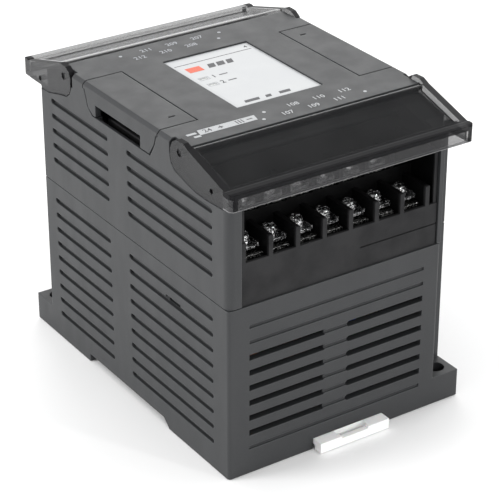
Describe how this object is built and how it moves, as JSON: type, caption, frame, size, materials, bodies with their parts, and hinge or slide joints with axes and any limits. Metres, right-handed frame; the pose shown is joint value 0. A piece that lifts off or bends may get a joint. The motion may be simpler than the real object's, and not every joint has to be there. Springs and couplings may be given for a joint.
{
  "type": "plc module",
  "caption": "Rail-mounted PLC expansion module with two-tier screw terminals under hinged smoked covers, lift-off bus caps and a sliding rail clip.",
  "frame": {"origin": "middle of the outer box on the mounting back, which is the plane z = 0", "axes": "+Z from the mounting back to the label face, X along the mounting rail, -Y towards the edge with the rail clip, +Y the long way across the rail"},
  "size_m": [0.07, 0.0992, 0.082],
  "materials": {
    "housing": "fine spark-eroded texture",
    "clip_plastic": "natural translucent nylon",
    "smoked": "smoked clear polycarbonate, polished",
    "pin_steel": "plain drawn pin",
    "block_plastic": "glass-filled black",
    "screw_chrome": "bright nickel plate",
    "plate_chrome": "bright nickel plate",
    "contact_brass": "tinned brass",
    "header_plastic": "black header moulding",
    "pin_gold": "gold flash",
    "label": "printed foil, satin",
    "light_pipe": "clear acrylic",
    "board": "green solder mask",
    "brass_hex": "turned hexagon",
    "zinc": "zinc plate",
    "converter_can": "black-plated can",
    "cap_sleeve": "shrink sleeve",
    "ferrite": "sintered ferrite",
    "copper": "enamelled copper",
    "fuse_cap": "brown moulded cap",
    "varistor_blue": "epoxy dip",
    "chip_epoxy": "moulded epoxy with tinned leads",
    "ceramic": "ceramic chip part",
    "crystal_can": "drawn can",
    "led": "clear epoxy on white base"
  },
  "bodies": {
    "housing": {"board_screws": "zinc", "bulk_capacitors": "cap_sleeve", "choke_core": "ferrite", "choke_winding": "copper", "converter_chip": "chip_epoxy", "crystal": "crystal_can", "front_clamp_plates": "plate_chrome", "front_hinge_pins": "pin_steel", "front_terminal_block": "block_plastic", "front_terminal_contacts": "contact_brass", "front_terminal_screws": "screw_chrome", "input_filters": "ceramic", "io_board": "board", "label_sheet": "label", "left_expansion_header": "header_plastic", "left_expansion_pins": "pin_gold", "light_pipes": "light_pipe", "logic_board": "board", "logic_link_pins": "pin_gold", "logic_link_strips": "header_plastic", "lower_housing": "housing", "lower_standoffs": "brass_hex", "power_board": "board", "power_converter": "converter_can", "power_link_pins": "pin_gold", "power_link_strips": "header_plastic", "processor_chip": "chip_epoxy", "rear_clamp_plates": "plate_chrome", "rear_hinge_pins": "pin_steel", "rear_terminal_block": "block_plastic", "rear_terminal_contacts": "contact_brass", "rear_terminal_screws": "screw_chrome", "right_expansion_header": "header_plastic", "right_expansion_pins": "pin_gold", "signal_isolators": "chip_epoxy", "status_leds": "led", "supply_fuse": "fuse_cap", "surge_varistor": "varistor_blue", "upper_housing": "housing", "upper_standoffs": "brass_hex"},
    "front_cover": {"front_terminal_cover": "smoked"},
    "rear_cover": {"rear_terminal_cover": "smoked"},
    "left_cap": {"left_expansion_cap": "housing"},
    "right_cap": {"right_expansion_cap": "housing"},
    "rail_clip": {"din_clip": "clip_plastic"}
  },
  "joints": [
    {"name": "front_cover_hinge", "type": "hinge", "parent": "housing", "child": "front_cover", "pos_m": [0, -0.02635, 0.079], "axis": [-1, 0, 0], "range_deg": [0, 100]},
    {"name": "rear_cover_hinge", "type": "hinge", "parent": "housing", "child": "rear_cover", "pos_m": [0, 0.02805, 0.079], "axis": [1, 0, 0], "range_deg": [0, 100]},
    {"name": "left_cap_lift", "type": "slide", "parent": "housing", "child": "left_cap", "axis": [0, 0, 1], "range_m": [0, 0.012]},
    {"name": "right_cap_lift", "type": "slide", "parent": "housing", "child": "right_cap", "axis": [0, 0, 1], "range_m": [0, 0.012]},
    {"name": "rail_clip_slide", "type": "slide", "parent": "housing", "child": "rail_clip", "axis": [0, -1, 0], "range_m": [0, 0.004]}
  ]
}
